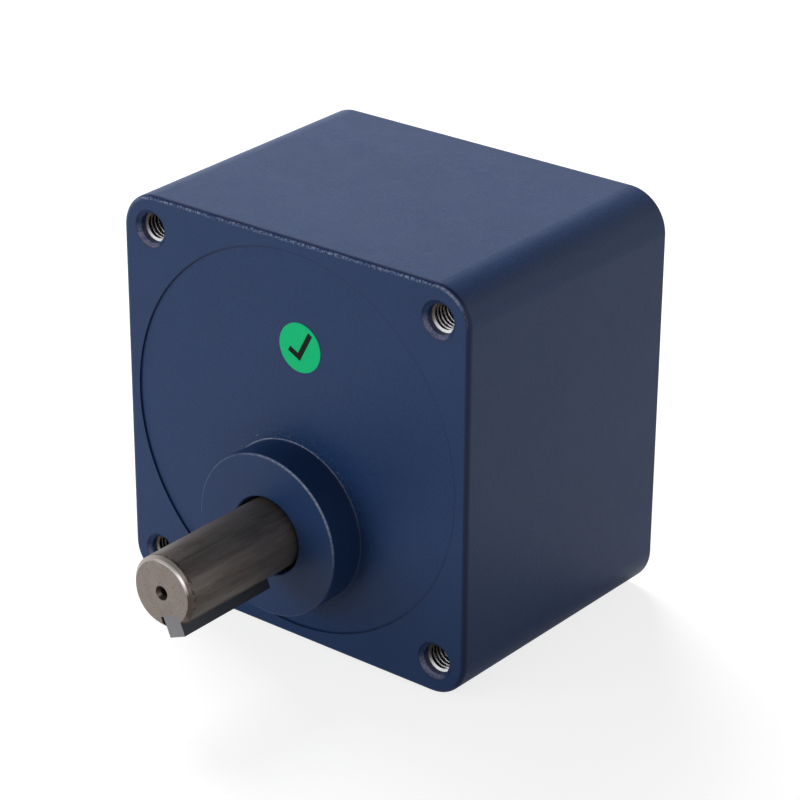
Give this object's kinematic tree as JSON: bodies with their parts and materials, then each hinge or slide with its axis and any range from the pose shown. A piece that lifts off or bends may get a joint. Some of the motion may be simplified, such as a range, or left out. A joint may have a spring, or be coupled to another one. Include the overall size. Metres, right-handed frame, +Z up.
{
  "type": "brushless gear motor",
  "caption": "Square cast gear motor with an off-centre round boss, a keyed output shaft and tapped corner holes; spur gear train and brushless motor inside.",
  "frame": {"origin": "on the output shaft's axis, in the plane of the front mounting face", "axes": "-Y out of the front face along the output shaft, +Z up towards the longer side of the housing, +X to the right seen from the front"},
  "size_m": [0.1122, 0.1295, 0.1122],
  "materials": {
    "blue_powder_coat": "satin dark blue powder coat on a cast aluminium housing, worn on its edges",
    "green_label": "small round printed paper label, green with a plain white tick",
    "ground_steel": "ground steel shaft with turned end",
    "key_steel": "drawn key steel",
    "gear_steel": "hobbed gear steel, oiled",
    "bearing_steel": "polished bearing steel",
    "zinc_steel": "zinc plated steel sheet",
    "black_steel": "blackened spring or screw steel",
    "cast_aluminium": "machined cast aluminium",
    "laminated_steel": "stack of varnished steel sheets",
    "copper_wire": "enamelled copper windings",
    "magnet_nickel": "nickel plated magnets",
    "seal_rubber": "black nitrile rubber",
    "white_plastic": "moulded end insulator",
    "black_plastic": "black moulded plastic",
    "board_green": "glass fibre circuit board",
    "brass_pins": "gold flashed brass pins"
  },
  "bodies": {
    "gearcase": {"housing": "blue_powder_coat", "round_label": "green_label", "seal_case": "zinc_steel", "seal_lip": "seal_rubber", "seal_garter_spring": "zinc_steel", "bearing_retaining_ring": "black_steel", "output_front_bearing_outer_ring": "bearing_steel", "output_front_bearing_balls": "bearing_steel", "output_rear_bearing_outer_ring": "bearing_steel", "output_rear_bearing_balls": "bearing_steel", "first_shaft_bearing_outer_rings": "bearing_steel", "first_shaft_bearing_balls": "bearing_steel", "second_shaft_bearing_outer_rings": "bearing_steel", "second_shaft_bearing_balls": "bearing_steel", "gear_plate": "cast_aluminium", "gear_plate_screws": "black_steel", "gear_plate_dowels": "bearing_steel", "stator_core": "laminated_steel", "stator_insulators": "white_plastic", "stator_coils": "copper_wire", "hall_board": "board_green", "hall_sensors": "black_plastic", "hall_board_screws": "zinc_steel", "motor_front_bearing_outer_ring": "bearing_steel", "motor_front_bearing_balls": "bearing_steel", "motor_rear_bearing_outer_ring": "bearing_steel", "motor_rear_bearing_balls": "bearing_steel", "bearing_preload_spring": "black_steel", "rear_cover": "blue_powder_coat", "rear_cover_gasket": "seal_rubber", "rear_cover_screws": "black_steel", "plug_socket": "black_plastic", "plug_pins": "brass_pins"},
    "output": {"output_shaft": "ground_steel", "output_key": "key_steel", "output_gear": "gear_steel", "output_gear_key": "key_steel", "output_gear_retaining_ring": "black_steel", "output_front_bearing_inner_ring": "bearing_steel", "output_rear_bearing_inner_ring": "bearing_steel"},
    "second_layshaft": {"second_shaft": "gear_steel", "second_gear": "gear_steel", "second_gear_key": "key_steel", "second_shaft_spacer": "gear_steel", "second_shaft_bearing_inner_rings": "bearing_steel"},
    "first_layshaft": {"first_shaft": "gear_steel", "first_gear": "gear_steel", "first_gear_key": "key_steel", "first_shaft_spacer": "gear_steel", "first_shaft_bearing_inner_rings": "bearing_steel"},
    "rotor": {"motor_shaft": "gear_steel", "rotor_core": "laminated_steel", "rotor_magnets": "magnet_nickel", "magnet_sleeve": "zinc_steel", "motor_front_bearing_inner_ring": "bearing_steel", "motor_rear_bearing_inner_ring": "bearing_steel"}
  },
  "joints": [
    {"name": "output_spin", "type": "hinge", "parent": "gearcase", "child": "output", "pos_m": [0, 0, 0], "axis": [0, -1, 0], "continuous": true},
    {"name": "second_layshaft_spin", "type": "hinge", "parent": "gearcase", "child": "second_layshaft", "pos_m": [0.024, 0, 0.02001], "axis": [0, -1, 0], "continuous": true},
    {"name": "first_layshaft_spin", "type": "hinge", "parent": "gearcase", "child": "first_layshaft", "pos_m": [0.01067, 0, 0.0435], "axis": [0, -1, 0], "continuous": true},
    {"name": "rotor_spin", "type": "hinge", "parent": "gearcase", "child": "rotor", "pos_m": [0, 0, 0.022], "axis": [0, -1, 0], "continuous": true}
  ],
  "couplings": [
    {"joint": "second_layshaft_spin", "follows": "output_spin", "ratio": -3.1667},
    {"joint": "first_layshaft_spin", "follows": "output_spin", "ratio": 11.083},
    {"joint": "rotor_spin", "follows": "output_spin", "ratio": -44.333}
  ]
}
